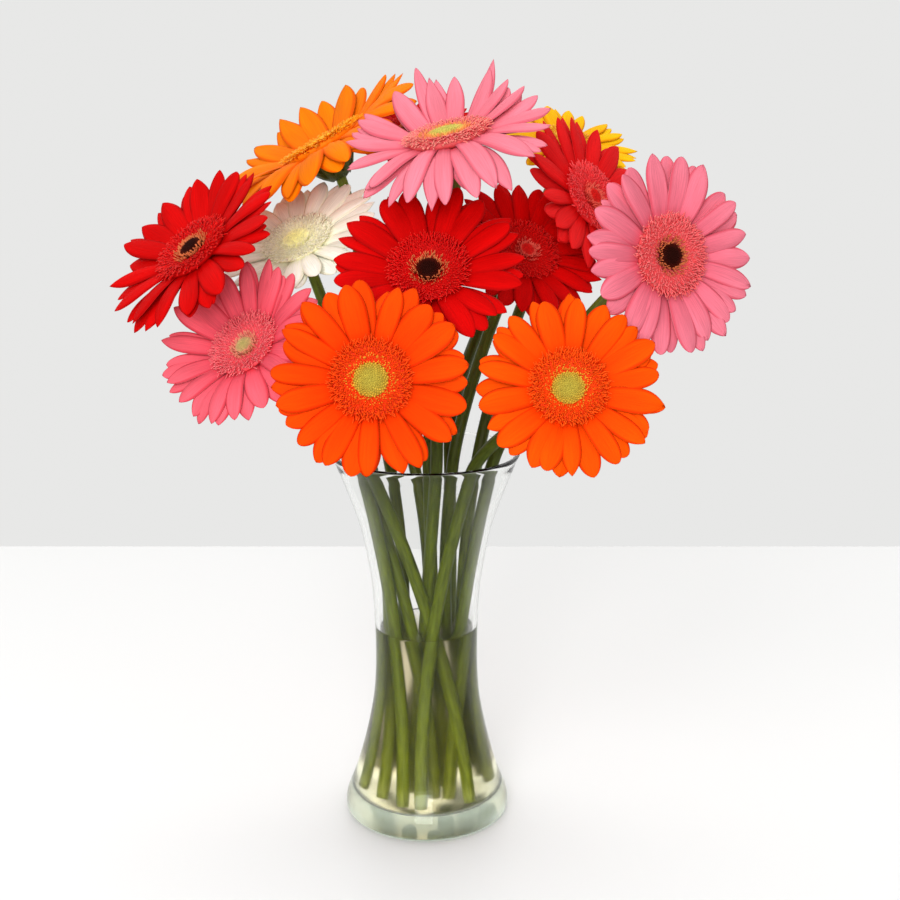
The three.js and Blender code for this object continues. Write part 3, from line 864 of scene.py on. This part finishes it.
fringe_finishes = {name: fringe_finish(name, *colours) for name, colours in FRINGE_COLOURS.items()}
core_top = np.stack([CORE_RADII, cushion(CORE_RADII) - CORE_SINK], axis=1)
core_profile = np.concatenate([CORE_UNDERSIDE, core_top, CORE_MIDDLE])
for number, (name, flower) in enumerate(FLOWERS.items()):
    rng = np.random.default_rng(FRINGE_SEED + number)
    dress = PETAL_DRESS[name]
    core = one_mark(*turned(core_profile, CORE_COLUMNS), CORE_MARK)
    batches = set_in_bowl([core, fringe_skins(EYE_RADII[EYES[name]] + FRINGE_GAP, rng)], flower)
    lay_skins(f"fringe_{name}", batches, fringe_finishes[dress], [f"petals_{name}"])


# The eyes: a dome of unopened disc florets packed in a spiral, green, golden, red or nearly black, and round
# it a ring of slender pollen tubes with yellow or salmon tips. They grow out of the same head.
EYE_SEED = 500
EYE_COLOURS = {
    "green": [(0.44, 0.36, 0.05), (0.48, 0.355, 0.045), (0.61, 0.355, 0.035), (0.86, 0.36, 0.03)],
    "lime": [(0.50, 0.46, 0.10), (0.54, 0.46, 0.09), (0.70, 0.36, 0.08), (0.86, 0.29, 0.09)],
    "golden": [(0.90, 0.45, 0.04), (0.92, 0.45, 0.03), (0.95, 0.45, 0.03), (0.96, 0.55, 0.06)],
    "olive": [(0.50, 0.42, 0.14), (0.56, 0.42, 0.17), (0.62, 0.38, 0.18), (0.86, 0.30, 0.20)],
    "pale": [(0.86, 0.84, 0.34), (0.90, 0.88, 0.42), (0.95, 0.92, 0.50), (0.97, 0.94, 0.62)],
    "dark": [(0.022, 0.003, 0.0015), (0.026, 0.003, 0.0015), (0.07, 0.005, 0.002), (0.67, 0.17, 0.06)],
    "crimson": [(0.66, 0.012, 0.010), (0.70, 0.016, 0.013), (0.76, 0.03, 0.025), (0.88, 0.13, 0.09)],
}
EYE_BUDS = 170
BUD_SIDES = 5
BUD_LEAN = 0.35
BUD_UNEVEN = 0.12
# half width of a bud in the middle of an eye of BUD_EYE_RADIUS, and how much wider it is at the eye's edge
BUD_SIZE = 0.42
BUD_GROWTH = 0.14
BUD_EYE_RADIUS = 7.2
# heights of a bud's three rings and of its two ends, and the rings' widths as shares of its half width
BUD_HEIGHTS = np.array([-0.45, 0.1, 0.5])
BUD_ENDS = np.array([-0.6, 0.85])
BUD_WIDTHS = np.array([0.9, 1.05, 0.7])
POLLEN_TUBES = 190
POLLEN_SIDES = 3
POLLEN_RING = 4.2
# places along a pollen tube, of its rings and of its ends, and its half width at the rings
TUBE_ROWS = np.array([[0.0], [0.6], [0.92]])
TUBE_ENDS = np.array([-0.05, 1.0])
TUBE_WIDTHS = np.array([[0.24], [0.24], [0.32]])
DOME_RADIUS = 7.6
DOME_TOP = 3.4
DOME_DROP = 1.3
DOME_COLUMNS = 24
DOME_PROFILE = np.array([(0, -0.6), (7.6, -0.2), (7.9, 0.8), (7.2, 2.1), (4.6, 3.1), (2.2, 3.4), (0, 3.5)])
DOME_MARK = (0.1, 0, 0.5)


def bud_skins(eye_radius, rng):
    """Buds in a spiral: bud i lies at the golden angle times i, at a radius that grows as the root of i. Each
    is a small five-sided egg that stands on the dome."""
    number = np.arange(EYE_BUDS)
    share = np.sqrt((number + 0.5) / EYE_BUDS)
    angle = number * GOLDEN_ANGLE
    centre = at_angle(eye_radius * share, angle, DOME_TOP - DOME_DROP * share**3)
    centre[:, 2] += rng.uniform(-BUD_UNEVEN, BUD_UNEVEN, EYE_BUDS)
    up = at_angle(BUD_LEAN * share, angle, 1)
    ring = at_angle(1, np.arange(BUD_SIDES) * 2 * np.pi / BUD_SIDES, 0)
    size = (BUD_SIZE + BUD_GROWTH * share) * eye_radius / BUD_EYE_RADIUS
    rings = (centre[:, None, None] + BUD_HEIGHTS[:, None, None] * up[:, None, None]
             + (size[:, None] * BUD_WIDTHS)[..., None, None] * ring)
    ends = centre[:, None] + BUD_ENDS[:, None] * up[:, None]
    marks = np.stack([0.8 * share, 0 * share, number % 7 / 7], axis=-1)[:, None]
    return rings, ends, np.broadcast_to(marks[:, None], rings.shape), np.broadcast_to(marks, ends.shape)


def pollen_skins(eye_radius, rng):
    """Slender three-sided tubes round the dome that lean outwards and end in a point."""
    each = drawer(rng, POLLEN_TUBES)
    angle = (np.arange(POLLEN_TUBES) * GOLDEN_ANGLE)[:, None, None]
    spread = each(0, 1)
    root = eye_radius - 0.2 + POLLEN_RING * spread**1.6
    lean = each(0.0, 1.0) + 0.6 * spread
    tall = each(2.9, 4.1)
    turn = np.arange(POLLEN_SIDES) * 2 * np.pi / POLLEN_SIDES
    out = root + lean * TUBE_ROWS**2 + TUBE_WIDTHS * np.cos(turn)
    rings = at_angle(out, angle, tall * TUBE_ROWS, TUBE_WIDTHS * np.sin(turn))
    root, lean, tall, angle = (values[:, :, 0] for values in (root, lean, tall, angle))
    ends = at_angle(root + lean * TUBE_ENDS**2, angle, tall * TUBE_ENDS)
    marks = np.stack(np.broadcast_arrays(0.82 + 0.2 * TUBE_ROWS, 0 * turn, each(0, 1)), axis=-1)
    return rings, ends, marks, marks[:, [0, -1], 0]


def eye_finish(name, centre, middle, edge, pollen):
    """Grainy: the colour runs from the middle of the eye to its edge and on to the pollen."""
    material, tree, shader = new_material(f"eye_{name}", {"Roughness": 0.6, "Specular IOR Level": 0.06})
    parts = mark_parts(tree)
    body = ramp(tree, parts[0], [(0.0, centre), (0.45, middle), (0.78, edge), (0.86, edge), (0.97, pollen)])
    grain = streaks(tree, parts, stretch=(3, 3, 50), scale=2, detail=1)
    feed(tree, shader, {"Base Color": shaded(tree, body, grain, 0.8, 1.2)})
    return material


eye_finishes = {name: eye_finish(name, *colours) for name, colours in EYE_COLOURS.items()}
for number, (name, flower) in enumerate(FLOWERS.items()):
    rng = np.random.default_rng(EYE_SEED + number)
    kind = EYES[name]
    radius = EYE_RADII[kind]
    dome = one_mark(*turned(DOME_PROFILE * (radius / DOME_RADIUS, 1), DOME_COLUMNS), DOME_MARK)
    batches = set_on_head([dome, bud_skins(radius, rng), pollen_skins(radius, rng)], flower)
    lay_skins(f"disc_{name}", batches, eye_finishes[kind], [f"eye_{name}"])
